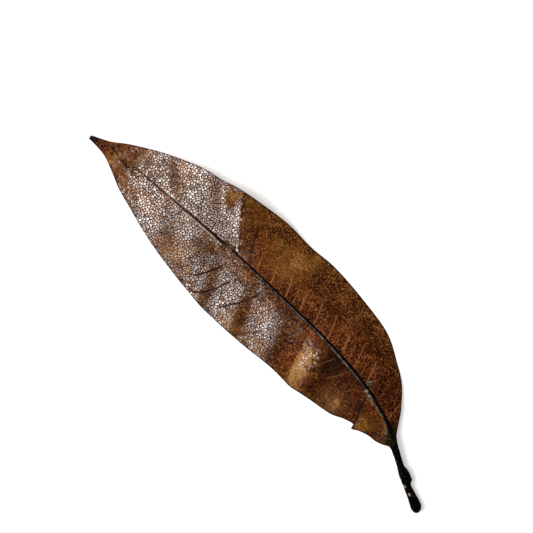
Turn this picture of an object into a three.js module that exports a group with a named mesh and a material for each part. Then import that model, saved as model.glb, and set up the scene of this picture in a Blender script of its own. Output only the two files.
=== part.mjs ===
// A dried mango leaf, blade and stalk in one piece, lying face up on a flat surface.
// Millimetres, +Z up. X runs along the leaf, with the tip at its positive end, and the origin lies on the
// surface under the middle of the leaf. Stations are places along the blade's chord: 0 is where the blade
// meets the stalk and BLADE_LENGTH is the tip, so the stalk has negative stations. The left side is the one
// on the left hand of someone who looks from the stalk towards the tip.
import * as THREE from "three";

// Driving dimensions
const BLADE_LENGTH = 190;
const STALK_LENGTH = 29.5;
const BLADE_THICKNESS = 0.7; // measured straight up, so that the steepest slopes are still over 0.6 thick
const STALK_HALF_DEPTH = 2.1;
const TIP_STATION = BLADE_LENGTH;
const STALK_END_STATION = -STALK_LENGTH;

// Plan of the leaf, as [station, distance]. The midrib bows to the right of the chord, and each edge is
// measured square to the midrib.
const MIDRIB = [
  [-29.5, 14.6], [-20, 10.2], [-9, 5.1], [0, 0.5], [7, -3], [14, -5.1], [25, -7.7], [40, -9.5],
  [58, -10.2], [80, -9.7], [104, -9], [130, -7.3], [156, -5.2], [176, -2.8], [190, 0.2],
];
const LEFT_EDGE = [
  [-29.5, 0.7], [-28.8, 1.6], [-27, 2.1], [-22, 1.9], [-14, 2.1], [-8, 1.6], [-3, 1.7], [-1, 2.2],
  [1, 5.2], [3, 7.6], [7, 9.8], [11, 12.2], [14.1, 14.8], [14.8, 13], [18, 14.7], [24, 18.6], [32, 21.4],
  [42, 23.7], [50, 25.6], [60, 25.6], [80, 27.2], [100, 27.7], [114, 26.2], [130, 23.2], [146, 19],
  [158, 14.8], [166, 11.8], [174, 7.3], [182, 3.1], [187, 1.6], [190, 0.9],
];
const RIGHT_EDGE = [
  [-29.5, 0.7], [-28.8, 1.9], [-27, 2.7], [-22, 2], [-18.4, 1.5], [-17, 2], [-16, 2.8], [-12.5, 2.5],
  [-9.5, 1.5], [-1, 1.6], [2, 2.1], [5, 3.9], [10, 8.4], [18, 14], [26, 17.9], [40, 23.1], [52, 24.3],
  [74, 26], [86, 25.1], [98, 25.6], [112, 24.3], [126, 22.4], [134, 20.6], [142, 19.3], [158, 14.1],
  [174, 7.2], [182, 3], [187, 1.6], [190, 0.9],
];

// Heights, as [station, height]. AXIS_HEIGHT is the middle of the stalk and of the blade at the midrib.
// The edges hang below it, down to the surface on the right near the stalk and on the left past the middle,
// and the right one lifts towards the tip.
const AXIS_HEIGHT = [
  [-29.5, 2], [-24, 2.1], [-14, 2.9], [-4, 3.7], [8, 4.5], [25, 5.2], [50, 5.9], [80, 5.9], [110, 5.2],
  [140, 3.6], [160, 1.7], [172, 0.4], [180, 0.5], [190, 1.5],
];
const LEFT_RISE = [
  [-2, 0], [10, -1.2], [30, -3.4], [58, -5.3], [72, -5.3], [86, -5], [100, -4.6], [116, -4.3], [140, -2.8],
  [165, -0.9], [180, 0],
];
const RIGHT_RISE = [
  [-2, 0], [10, -2], [25, -4.6], [42, -6.6], [70, -6.8], [88, -4.6], [102, -0.4], [114, 3], [124, 3.7],
  [136, 3.6], [148, 2.8], [160, 1.4], [172, 0.4], [180, 0],
];
// Crests and troughs of each half as it dried, at its edge, fading out towards the midrib
const LEFT_WAVES = [
  [0, 0], [20, 0.3], [34, -0.3], [43, 1], [51.5, -0.8], [58, -0.1], [65, 1.3], [80, -1.3], [87, 0.4],
  [100, -1], [107, 0.3], [118, -0.8], [128, -0.5], [140, 0.4], [159, -1.1], [172, 0], [180, 0],
];
const RIGHT_WAVES = [
  [0, 0], [25, -0.2], [50, 0], [79, 0.7], [99, -0.8], [110, -0.7], [123.5, 1.4], [133, -0.6], [140, 0],
  [152, -1.2], [159, 0], [168, -0.3], [178, 0],
];
// How far a crest moves towards the tip for each millimetre out from the midrib
const LEFT_LEAN = -0.4;
const RIGHT_LEAN = 0.6;

// How straight each half rises or sags, from 0 for a bowl to 1 for a plane, and the share of
// the way out where the waves are full
const RISE_NEAR_RIB = 0.6;
const WAVE_REACH = 0.75;

// The midrib stands proud of both faces. Its half width and heights are [station, distance] too.
const RIB_HALF_WIDTH = [[-4, 1.7], [8, 1.4], [30, 1.1], [70, 0.8], [130, 0.55], [165, 0.35], [190, 0.3]];
const RIB_TOP_HEIGHT = [[-4, 1.2], [8, 1], [30, 0.6], [70, 0.5], [130, 0.35], [165, 0.12], [180, 0]];
const RIB_UNDER_HEIGHT = [[-4, 1.2], [8, 1.2], [30, 1], [70, 0.8], [130, 0.5], [165, 0.2], [180, 0]];

// Side veins leave the midrib in pairs and sweep towards the tip
const FIRST_VEIN = 10;
const VEIN_PITCH = 8.6;
const VEIN_PAIRS = 20;
const VEIN_HALF_WIDTH = 0.7;
const VEIN_HEIGHT = 0.28;
const SLIM_VEIN_HEIGHT = 0.1;
const VEIN_SWEEP = [[2, 0], [12, 3], [30, 11], [60, 13], [120, 12], [165, 6], [186, 0]];

// How the mesh is laid out: rows of points run out along the veins from both sides of the midrib
const RIB_STEPS = 2;
const BLADE_STEPS = 7;
const SIDE_STEPS = RIB_STEPS + BLADE_STEPS;
const EDGE_CROWDING = 1.25; // over 1 draws the outer steps closer together
const STALK_ROW_PITCH = 1.3;
const BASE_ROW_PITCH = 1.1;
const NOTCH_ROWS = [11.3, 11.9, 12.5, 13.2]; // extra rows that reach the edge at its torn notch
const TIP_ROWS = 9;
const ROUND_TO_FLAT = [-1, 7]; // stations over which the round stalk turns into the flat blade

const smoothStep = (low, high, x) => THREE.MathUtils.smoothstep(x, low, high);

// Reads a [station, value] list at a station, on a curve that never overshoots its points.
function along(list, x) {
  const last = list.length - 1;
  if (x <= list[0][0]) return list[0][1];
  if (x >= list[last][0]) return list[last][1];
  const i = list.findIndex((p) => p[0] > x) - 1;
  const slope = (k) => (list[k + 1][1] - list[k][1]) / (list[k + 1][0] - list[k][0]);
  const tangent = (k) => {
    if (k === 0) return slope(0);
    if (k === last) return slope(last - 1);
    const before = slope(k - 1);
    const after = slope(k);
    return before * after <= 0 ? 0 : (2 * before * after) / (before + after);
  };
  const span = list[i + 1][0] - list[i][0];
  const t = (x - list[i][0]) / span;
  const rest = 1 - t;
  return (
    rest * rest * ((1 + 2 * t) * list[i][1] + t * span * tangent(i)) +
    t * t * ((1 + 2 * rest) * list[i + 1][1] - rest * span * tangent(i + 1))
  );
}

// Where the midrib passes a station, and the direction to the leaf's left there.
function midribAt(x) {
  const reach = 2;
  const rise = along(MIDRIB, x + reach) - along(MIDRIB, x - reach);
  const run = Math.min(x + reach, TIP_STATION) - Math.max(x - reach, STALK_END_STATION);
  const left = new THREE.Vector2(-rise, run).normalize();
  return { centre: new THREE.Vector2(x, along(MIDRIB, x)), left };
}

// The underside of the blade alone, with no rib or vein, at a share of the way out to one edge.
// It lies flat where the leaf rests on the surface.
function underside(x, side, share) {
  const width = along(side > 0 ? LEFT_EDGE : RIGHT_EDGE, x);
  const bend = RISE_NEAR_RIB * share + (1 - RISE_NEAR_RIB) * share ** 2;
  const rise = along(side > 0 ? LEFT_RISE : RIGHT_RISE, x) * bend;
  const crest = x + (side > 0 ? LEFT_LEAN : RIGHT_LEAN) * (1 - share) * width;
  const wave = along(side > 0 ? LEFT_WAVES : RIGHT_WAVES, crest) * smoothStep(0, WAVE_REACH, share);
  return Math.max(0, along(AXIS_HEIGHT, x) + rise + wave - BLADE_THICKNESS / 2);
}

// How far a row that leaves the midrib at a station has moved towards the tip, out along the blade.
const sweep = (station, share) => along(VEIN_SWEEP, station) * (0.6 * share + 0.4 * share ** 2);

// How proud a row stands at the midrib's foot: most on a side vein, less on the slim one midway to the next.
function veinHeight(station) {
  const place = (station - FIRST_VEIN) / VEIN_PITCH;
  if (place < -0.1 || place > VEIN_PAIRS) return 0;
  const away = Math.abs(place - Math.round(place)) * VEIN_PITCH;
  if (away < VEIN_HALF_WIDTH / 2) return VEIN_HEIGHT;
  return away > VEIN_PITCH / 2 - VEIN_HALF_WIDTH / 2 ? SLIM_VEIN_HEIGHT : 0;
}

// Reach and heights of the flat blade with its ribs, at one step out along the row of a station.
function bladeSection(station, side, step) {
  const edge = side > 0 ? LEFT_EDGE : RIGHT_EDGE;
  const rib = Math.min(along(RIB_HALF_WIDTH, station), 0.6 * along(edge, station));
  const ribShare = Math.min(1, step / RIB_STEPS);
  const outShare = 1 - (1 - Math.max(0, step - RIB_STEPS) / BLADE_STEPS) ** EDGE_CROWDING;
  const x = station + sweep(station, outShare);
  const width = along(edge, x);
  const reach = rib * ribShare + (width - rib) * outShare;
  const dome = Math.sqrt(1 - ribShare ** 2);
  const vein = step < RIB_STEPS ? 0 : veinHeight(station) * (1 - outShare ** 2);
  const under = underside(x, side, reach / width);
  return {
    x,
    reach,
    top: under + BLADE_THICKNESS + dome * along(RIB_TOP_HEIGHT, x) + vein,
    bottom: Math.max(0, under - dome * along(RIB_UNDER_HEIGHT, x) - vein),
  };
}

// The same for the round stalk.
function stalkSection(x, side, step) {
  const width = along(side > 0 ? LEFT_EDGE : RIGHT_EDGE, x);
  const halfDepth = Math.min((along(LEFT_EDGE, x) + along(RIGHT_EDGE, x)) / 2, STALK_HALF_DEPTH);
  const turn = (Math.PI / 2) * (step / (SIDE_STEPS + 0.5));
  return {
    reach: width * Math.sin(turn),
    top: along(AXIS_HEIGHT, x) + halfDepth * Math.cos(turn),
    bottom: Math.max(0, along(AXIS_HEIGHT, x) - halfDepth * Math.cos(turn)),
  };
}

// Top and bottom points of one place on the leaf: a row's station, a side of the midrib and a step out.
function pointPair(station, side, step) {
  const blade = bladeSection(station, side, step);
  const stalk = stalkSection(blade.x, side, step);
  const flat = smoothStep(ROUND_TO_FLAT[0], ROUND_TO_FLAT[1], blade.x);
  const mix = (key) => THREE.MathUtils.lerp(stalk[key], blade[key], flat);
  const { centre, left } = midribAt(blade.x);
  const plan = centre.addScaledVector(left, mix("reach") * side);
  return { top: [plan.x, plan.y, mix("top")], bottom: [plan.x, plan.y, mix("bottom")] };
}

// Stations of the rows at the midrib: close together on the knobbly stalk and at the blade's base, and
// then four for each pair of veins.
function rowStations() {
  const rows = [];
  for (let x = STALK_END_STATION; x < -1; x += STALK_ROW_PITCH) rows.push(x);
  const firstVeinRow = FIRST_VEIN - VEIN_HALF_WIDTH;
  for (let x = -1; x < firstVeinRow - BASE_ROW_PITCH / 2; x += BASE_ROW_PITCH) rows.push(x);
  for (let i = 0; i < VEIN_PAIRS; i++) {
    const vein = FIRST_VEIN + i * VEIN_PITCH;
    rows.push(vein - VEIN_HALF_WIDTH, vein, vein + VEIN_HALF_WIDTH);
    rows.push(...(i === 0 ? NOTCH_ROWS : [vein + VEIN_PITCH / 2]));
  }
  const last = rows.at(-1);
  for (let i = 1; i <= TIP_ROWS; i++) rows.push(last + ((TIP_STATION - last) * i) / TIP_ROWS);
  return rows;
}

// One closed skin over all rows: top, underside, both rims and both ends. Each patch of the underside is
// split along the same diagonal as the patch above it, so the two faces never cross.
function leafGeometry() {
  const rows = rowStations();
  const columns = 2 * SIDE_STEPS + 1;
  const positions = [];
  for (const face of ["top", "bottom"]) {
    for (const station of rows) {
      for (let c = 0; c < columns; c++) {
        const step = Math.abs(c - SIDE_STEPS);
        const side = c < SIDE_STEPS ? -1 : 1;
        positions.push(...pointPair(station, side, step)[face]);
      }
    }
  }
  const top = (r, c) => r * columns + c;
  const bottom = (r, c) => (rows.length + r) * columns + c;
  const faces = [];
  const patch = (a, b, c, d) => faces.push(a, b, c, a, c, d);
  for (let r = 0; r < rows.length - 1; r++) {
    for (let c = 0; c < columns - 1; c++) {
      patch(top(r, c), top(r + 1, c), top(r + 1, c + 1), top(r, c + 1));
      faces.push(bottom(r, c), bottom(r + 1, c + 1), bottom(r + 1, c));
      faces.push(bottom(r, c), bottom(r, c + 1), bottom(r + 1, c + 1));
    }
    const edge = columns - 1;
    patch(top(r, 0), bottom(r, 0), bottom(r + 1, 0), top(r + 1, 0));
    patch(top(r, edge), top(r + 1, edge), bottom(r + 1, edge), bottom(r, edge));
  }
  const end = rows.length - 1;
  for (let c = 0; c < columns - 1; c++) {
    patch(top(0, c), top(0, c + 1), bottom(0, c + 1), bottom(0, c));
    patch(top(end, c), bottom(end, c), bottom(end, c + 1), top(end, c + 1));
  }
  const geometry = new THREE.BufferGeometry();
  geometry.setAttribute("position", new THREE.Float32BufferAttribute(positions, 3));
  geometry.setIndex(faces);
  geometry.computeVertexNormals();
  return geometry;
}

const leafBrown = new THREE.MeshStandardMaterial({ color: 0x5a3418, roughness: 0.45, metalness: 0 });
const leaf = new THREE.Mesh(leafGeometry(), leafBrown);
leaf.name = "leaf";
leaf.geometry.computeBoundingBox();
const middle = leaf.geometry.boundingBox.getCenter(new THREE.Vector3());
leaf.position.set(-middle.x, -middle.y, 0);

const part = new THREE.Group();
part.add(leaf);

export default part;
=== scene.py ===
"""A dried mango leaf lying face up on a pale surface, seen from straight above.

The leaf is one fine mesh that follows the CAD solid: the same plan, heights and waves, from the same named
values, with the veins, net, creases, torn notch and flaked bark modelled on it. Stations and distances are
in millimetres in the leaf's own plan, as in the CAD source: 0 is where the blade meets the stalk, 190 is
the tip, and left is the left hand of someone who looks from the stalk towards the tip.
"""
import math
from types import SimpleNamespace

import bpy
import numpy as np
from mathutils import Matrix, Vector


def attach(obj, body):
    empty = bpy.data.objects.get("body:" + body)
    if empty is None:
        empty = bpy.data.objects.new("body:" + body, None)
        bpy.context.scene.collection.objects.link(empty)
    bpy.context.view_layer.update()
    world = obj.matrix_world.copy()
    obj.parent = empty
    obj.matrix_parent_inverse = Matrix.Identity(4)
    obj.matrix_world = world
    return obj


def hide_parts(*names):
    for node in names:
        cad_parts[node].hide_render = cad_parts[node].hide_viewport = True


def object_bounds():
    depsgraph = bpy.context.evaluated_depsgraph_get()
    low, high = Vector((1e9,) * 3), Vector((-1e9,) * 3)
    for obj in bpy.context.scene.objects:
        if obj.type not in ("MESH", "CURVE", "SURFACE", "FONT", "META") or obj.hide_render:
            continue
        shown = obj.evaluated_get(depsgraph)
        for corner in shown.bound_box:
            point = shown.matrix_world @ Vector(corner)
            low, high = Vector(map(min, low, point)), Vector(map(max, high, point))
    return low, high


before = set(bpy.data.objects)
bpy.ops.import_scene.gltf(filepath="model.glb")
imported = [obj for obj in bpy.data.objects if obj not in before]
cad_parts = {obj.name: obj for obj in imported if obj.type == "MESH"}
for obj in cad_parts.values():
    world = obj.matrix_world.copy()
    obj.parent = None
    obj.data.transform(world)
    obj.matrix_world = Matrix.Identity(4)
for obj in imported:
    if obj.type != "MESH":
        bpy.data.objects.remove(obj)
cad_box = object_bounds()

MM = 0.001
TIP_STATION = 190.0
STALK_END_STATION = -29.5

# Plan and heights, the same as the solid's
MIDRIB = [
    (-29.5, 14.6), (-20, 10.2), (-9, 5.1), (0, 0.5), (7, -3), (14, -5.1), (25, -7.7), (40, -9.5),
    (58, -10.2), (80, -9.7), (104, -9), (130, -7.3), (156, -5.2), (176, -2.8), (190, 0.2),
]
LEFT_EDGE = [
    (-29.5, 0.7), (-28.8, 1.6), (-27, 2.1), (-22, 1.9), (-14, 2.1), (-8, 1.6), (-3, 1.7), (-1, 2.2),
    (1, 5.2), (3, 7.6), (7, 9.8), (11, 12.2), (14.1, 14.8), (14.8, 13), (18, 14.7), (24, 18.6), (32, 21.4),
    (42, 23.7), (50, 25.6), (60, 25.6), (80, 27.2), (100, 27.7), (114, 26.2), (130, 23.2), (146, 19),
    (158, 14.8), (166, 11.8), (174, 7.3), (182, 3.1), (187, 1.6), (190, 0.9),
]
RIGHT_EDGE = [
    (-29.5, 0.7), (-28.8, 1.9), (-27, 2.7), (-22, 2), (-18.4, 1.5), (-17, 2), (-16, 2.8), (-12.5, 2.5),
    (-9.5, 1.5), (-1, 1.6), (2, 2.1), (5, 3.9), (10, 8.4), (18, 14), (26, 17.9), (40, 23.1), (52, 24.3),
    (74, 26), (86, 25.1), (98, 25.6), (112, 24.3), (126, 22.4), (134, 20.6), (142, 19.3), (158, 14.1),
    (174, 7.2), (182, 3), (187, 1.6), (190, 0.9),
]
AXIS_HEIGHT = [
    (-29.5, 2), (-24, 2.1), (-14, 2.9), (-4, 3.7), (8, 4.5), (25, 5.2), (50, 5.9), (80, 5.9), (110, 5.2),
    (140, 3.6), (160, 1.7), (172, 0.4), (180, 0.5), (190, 1.5),
]
LEFT_RISE = [
    (-2, 0), (10, -1.2), (30, -3.4), (58, -5.3), (72, -5.3), (86, -5), (100, -4.6), (116, -4.3),
    (140, -2.8), (165, -0.9), (180, 0),
]
RIGHT_RISE = [
    (-2, 0), (10, -2), (25, -4.6), (42, -6.6), (70, -6.8), (88, -4.6), (102, -0.4), (114, 3), (124, 3.7),
    (136, 3.6), (148, 2.8), (160, 1.4), (172, 0.4), (180, 0),
]
LEFT_WAVES = [
    (0, 0), (20, 0.3), (34, -0.3), (43, 1), (51.5, -0.8), (58, -0.1), (65, 1.3), (80, -1.3), (87, 0.4),
    (100, -1), (107, 0.3), (118, -0.8), (128, -0.5), (140, 0.4), (159, -1.1), (172, 0), (180, 0),
]
RIGHT_WAVES = [
    (0, 0), (25, -0.2), (50, 0), (79, 0.7), (99, -0.8), (110, -0.7), (123.5, 1.4), (133, -0.6), (140, 0),
    (152, -1.2), (159, 0), (168, -0.3), (178, 0),
]
LEFT_LEAN = -0.4
RIGHT_LEAN = 0.6
RISE_NEAR_RIB = 0.6
WAVE_REACH = 0.75
RIB_HALF_WIDTH = [(-4, 1.7), (8, 1.4), (30, 1.1), (70, 0.8), (130, 0.55), (165, 0.35), (190, 0.3)]
RIB_TOP_HEIGHT = [(-4, 1.2), (8, 1), (30, 0.6), (70, 0.5), (130, 0.35), (165, 0.12), (180, 0)]
RIB_UNDER_HEIGHT = [(-4, 1.2), (8, 1.2), (30, 1), (70, 0.8), (130, 0.5), (165, 0.2), (180, 0)]
FIRST_VEIN = 10.0
VEIN_PITCH = 8.6
VEIN_PAIRS = 20
VEIN_SWEEP = [(2, 0), (12, 3), (30, 11), (60, 13), (120, 12), (165, 6), (186, 0)]
STALK_HALF_DEPTH = 2.1
ROUND_TO_FLAT = (-1.0, 7.0)
SOLID_THICKNESS = 0.7

# The visible blade is thinner than the solid and stands on the same underside
THICKNESS = 0.45
EDGE_ROUND = 0.14
VEIN_TOP = 0.09
VEIN_UNDER = 0.22
VEIN_SPREAD = 0.33
SLIM_VEIN = 0.4
RIB_GROOVE = 0.2
RIB_ROUGHNESS = 0.05
SWELL = 0.42
NET_CELL = 2.6
NET_DEPTH = 0.04
LUMP = 0.14
SMALL_LUMP = 0.035
LEFT_FOLD_DEPTH = 0.3
RIGHT_FOLD_STEP = 0.22
CRUST_HEIGHT = 0.25
COARSE_BARK = 0.16
FINE_BARK = 0.09

# Rows run out along the veins; columns are counted on one side of the midrib
ROW_PITCH = 0.37
RIB_COLUMNS = 6
TOP_COLUMNS = 64
UNDER_COLUMNS = 16
UNDER_RIB_COLUMNS = 3
EDGE_CROWDING = 1.12
BARK_SHARE = 0.5


def smooth_step(low, high, x):
    """0 below low, 1 above high, and an even curve between."""
    t = np.clip((x - low) / (high - low), 0, 1)
    return t * t * (3 - 2 * t)


def bell(x, middle, spread):
    """1 at the middle, falling evenly to both sides."""
    return np.exp(-(((x - middle) / spread) ** 2))


def along(table, x):
    """Values of a station table at stations x, on a curve that never overshoots its points."""
    xs, ys = np.array(table, float).T
    span = np.diff(xs)
    slope = np.diff(ys) / span
    before, after = slope[:-1], slope[1:]
    same_way = before * after > 0
    mean = 2 * before * after / np.where(same_way, before + after, 1)
    tangent = np.concatenate(([slope[0]], np.where(same_way, mean, 0), [slope[-1]]))
    x = np.clip(x, xs[0], xs[-1])
    i = np.clip(np.searchsorted(xs, x, side="right") - 1, 0, len(span) - 1)
    t = (x - xs[i]) / span[i]
    rest = 1 - t
    return rest * rest * ((1 + 2 * t) * ys[i] + t * span[i] * tangent[i]) + t * t * (
        (1 + 2 * rest) * ys[i + 1] - rest * span[i] * tangent[i + 1]
    )


def lattice(i, j, seed):
    """A repeatable random number for each lattice point."""
    size = 256
    grid = np.random.default_rng(seed).random((size, size))
    return grid[i % size, j % size]


def noise(u, v, seed):
    """Smooth noise from -1 to 1 with features one unit apart."""
    i, j = np.floor(u).astype(int), np.floor(v).astype(int)
    fu, fv = smooth_step(0, 1, u - i), smooth_step(0, 1, v - j)
    low = lattice(i, j, seed) * (1 - fu) + lattice(i + 1, j, seed) * fu
    high = lattice(i, j + 1, seed) * (1 - fu) + lattice(i + 1, j + 1, seed) * fu
    return 2 * (low * (1 - fv) + high * fv) - 1


def net(u, v, seed):
    """1 on the borders between random cells one unit across, falling to 0 inside them."""
    margin, border = 0.1, 0.32
    i, j = np.floor(u).astype(int), np.floor(v).astype(int)
    distances = []
    for a in (-1, 0, 1):
        for b in (-1, 0, 1):
            du = i + a + margin + (1 - 2 * margin) * lattice(i + a, j + b, seed) - u
            dv = j + b + margin + (1 - 2 * margin) * lattice(i + a, j + b, seed + 1) - v
            distances.append(np.hypot(du, dv))
    nearest = np.sort(np.array(distances), axis=0)
    return 1 - smooth_step(0, border, nearest[1] - nearest[0])


def pick(side, left, right, x):
    """A left or right table read at x, by the sign of side."""
    return np.where(side > 0, along(left, x), along(right, x))


def underside(x, side, share):
    """Height of the blade's underside with no rib or vein, the same as the solid's."""
    width = pick(side, LEFT_EDGE, RIGHT_EDGE, x)
    rise = pick(side, LEFT_RISE, RIGHT_RISE, x) * (RISE_NEAR_RIB * share + (1 - RISE_NEAR_RIB) * share**2)
    crest = x + np.where(side > 0, LEFT_LEAN, RIGHT_LEAN) * (1 - share) * width
    wave = pick(side, LEFT_WAVES, RIGHT_WAVES, crest) * smooth_step(0, WAVE_REACH, share)
    return np.maximum(0, along(AXIS_HEIGHT, x) + rise + wave - SOLID_THICKNESS / 2)


def plan_point(x, reach):
    """Plan position of a point at a signed distance square to the midrib."""
    step = 2.0
    rise = along(MIDRIB, x + step) - along(MIDRIB, x - step)
    run = np.minimum(x + step, TIP_STATION) - np.maximum(x - step, STALK_END_STATION)
    length = np.hypot(rise, run)
    return x - rise / length * reach, along(MIDRIB, x) + run / length * reach


def vein_profile(station, side, spread):
    """How proud a row stands as a side vein: 1 on the main veins, less on the slim ones, 0 between them."""
    place = (station - FIRST_VEIN) / VEIN_PITCH
    number = np.round(place)
    drift = 0.5 * (lattice(number.astype(int), np.where(side > 0, 3, 9), seed=11) - 0.5)
    from_vein = station - FIRST_VEIN - number * VEIN_PITCH
    main = bell(np.abs(from_vein - drift), 0, spread)
    slim = bell(np.abs(VEIN_PITCH / 2 - np.abs(from_vein)), 0, spread)
    there = (number >= 0) & (number < VEIN_PAIRS)
    return np.where(there, main + SLIM_VEIN * slim, 0)


# Creases and folds of the top, as plan points from one end to the other
TEAR = [(17.4, 9.4), (18.6, 5.5), (19.4, 3), (21, 0), (22.2, -3.5), (23.2, -6.2)]
LEFT_FOLD = [(49.5, 16), (52.5, 13), (55, 9), (56.8, 5), (58.4, 1), (59.4, -5)]
RIGHT_FOLD = [(108.5, -11), (111, -14), (117, -20), (121.5, -26), (124.5, -31)]
LOOP_CREASE = [(101, 1), (102, 4), (103.1, 7.6), (105.6, 12.6), (108.8, 15.8), (112, 16.8)]
SHORT_CREASE = [(108, -1.5), (109.6, 2.6), (112, 7.4), (114.6, 11.6)]
RIGHT_GROOVE = [(100.5, -10.5), (103.5, -15), (107, -20.5), (109.5, -26)]
BACK_GROOVE = [(76.5, 8.5), (80.5, 13.5), (83.5, 17.5)]
MID_GROOVE = [(88, -3), (89.6, 1), (91.5, 5.2), (95, 10.5), (97, 14)]
# The same lines with their depth, spread and darkness
CREASES = [
    (TEAR, 0.08, 0.32, 1.3),
    (LOOP_CREASE, 0.06, 0.28, 1.25),
    (SHORT_CREASE, 0.06, 0.32, 1.35),
    (RIGHT_GROOVE, 0.08, 0.5, 0.6),
    (BACK_GROOVE, 0.05, 0.3, 0.8),
    (MID_GROOVE, 0.05, 0.27, 1.15),
]

# Soft ellipses are all written as (station, left, along, across, turn in degrees, amount)
# Bulges and hollows of the skin, with a height as the amount
BULGES = [
    (127, -26, 4, 3.5, 0, 0.35), (123.5, -2, 6, 4.5, 0, 0.4), (157, -18, 4, 3, 20, -0.3),
    (131, 8, 6, 4, -20, -0.2),
]
# Dry crusts on and beside the midrib
CRUSTS = [
    (19.6, -5.6, 1.6, 0.5, -20, 0.5), (22.4, -6.2, 1.2, 0.7, -10, 0.9), (24.6, -7.2, 1.1, 0.7, -25, 1.0),
    (26.4, -10.7, 0.6, 0.9, 20, 0.9), (25.6, -11.8, 0.5, 0.5, 0, 0.7), (111.4, -8.6, 1.5, 0.6, 0, 0.8),
    (83.2, -4.6, 0.4, 1.1, 0, 0.5), (7.5, -1.2, 2.5, 0.8, -30, 0.3),
    (12.5, -4.3, 1.6, 0.4, -22, 0.5), (16.2, -5.2, 1.3, 0.4, -18, 0.6),
]


def to_line(points, px, py):
    """Signed distance of plan points to a polyline, positive on its left, and how far along it they lie."""
    best = np.full(px.shape, 1e9)
    sign = np.ones(px.shape)
    share = np.zeros(px.shape)
    legs = len(points) - 1
    for k in range(legs):
        (ax, ay), (bx, by) = points[k], points[k + 1]
        dx, dy = bx - ax, by - ay
        t = np.clip(((px - ax) * dx + (py - ay) * dy) / (dx * dx + dy * dy), 0, 1)
        away = np.hypot(px - ax - t * dx, py - ay - t * dy)
        closer = away < best
        best = np.where(closer, away, best)
        sign = np.where(closer, np.where(dx * (py - ay) - dy * (px - ax) > 0, 1, -1), sign)
        share = np.where(closer, (k + t) / legs, share)
    return best * sign, share


def past_line(points, px, py):
    """Signed distance of plan points to a polyline, positive on its left."""
    return to_line(points, px, py)[0]


def blob(px, py, spot):
    """A soft ellipse round a place in the leaf's plan."""
    cx, cy, along_axis, across, turn, amount = spot
    c, s = math.cos(math.radians(turn)), math.sin(math.radians(turn))
    u = (px - cx) * c + (py - cy) * s
    v = -(px - cx) * s + (py - cy) * c
    return amount * np.exp(-0.8 * ((u / along_axis) ** 2 + (v / across) ** 2) ** 1.5)


def spots(table, px, py):
    """The strongest ellipse of a table at each place."""
    most = np.zeros(px.shape)
    for spot in table:
        most = np.maximum(most, blob(px, py, spot))
    return most


def top_veins(at, out):
    """Side veins of the top: proud towards the base, and sunken beyond the middle of the leaf."""
    proud = 1 - 1.7 * smooth_step(88, 104, at.row)
    return VEIN_TOP * proud * vein_profile(at.row, at.side, VEIN_SPREAD) * out * (1 - 0.8 * at.share**2)


def fine_net(px, py):
    """The sunken lines of the net of small veins."""
    warp_u = px + 0.5 * noise(px / 3, py / 3, seed=21)
    warp_v = py + 0.5 * noise(px / 3, py / 3, seed=22)
    return -NET_DEPTH * net(warp_u / NET_CELL, warp_v / NET_CELL, seed=31)


def skin_lumps(px, py, side):
    """Low lumps of the skin, calmer on the left half near the base and on both halves near the tip."""
    lumps = LUMP * noise(px / 7, py / 5, seed=51) + SMALL_LUMP * noise(px / 2.6, py / 2.6, seed=52)
    left_calm = np.where(side > 0, 0.4 + 0.6 * smooth_step(38, 50, px), 1)
    return lumps * left_calm * (1 - 0.3 * smooth_step(122, 136, px))


def press_creases(relief, px, py, to_edge):
    """The relief with every crease pressed into it."""
    inside = smooth_step(0, 1.2, to_edge + 0.8)
    for line, depth, spread, _ in CREASES:
        relief = relief - depth * bell(past_line(line, px, py), 0, spread) * inside
    return relief


def top_relief(at):
    """Everything that stands above or below the smooth top, in millimetres."""
    px, py = at.px, at.py
    out = smooth_step(0.0, 0.08, at.share)
    to_edge = at.width - at.reach
    calm = smooth_step(0.3, 2.5, to_edge) * out
    skin = fine_net(px, py) + skin_lumps(px, py, at.side) * smooth_step(0, 6, to_edge)
    relief = (top_veins(at, out) + skin * calm) * (0.25 + 0.75 * smooth_step(176, 160, px))
    swollen = smooth_step(44, 56, px) * smooth_step(122, 108, px) * (at.side > 0)
    relief = relief + SWELL * bell(at.reach, 4.6, 2.4) * swollen
    relief = press_creases(relief, px, py, to_edge)
    left_fold = np.exp(-np.abs(past_line(LEFT_FOLD, px, py)) / 1.4)
    relief = relief - LEFT_FOLD_DEPTH * left_fold * smooth_step(0.5, 3, to_edge) * out
    relief = relief + CRUST_HEIGHT * spots(CRUSTS, px, py) * (0.6 + 0.4 * noise(px / 0.5, py / 0.5, seed=62))
    for spot in BULGES:
        relief = relief + blob(px, py, spot) * calm
    from_fold = past_line(RIGHT_FOLD, px, py)
    step = smooth_step(-1.5, 1.5, -from_fold) - 0.5
    return relief + RIGHT_FOLD_STEP * step * bell(from_fold, 0, 5) * calm


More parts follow.
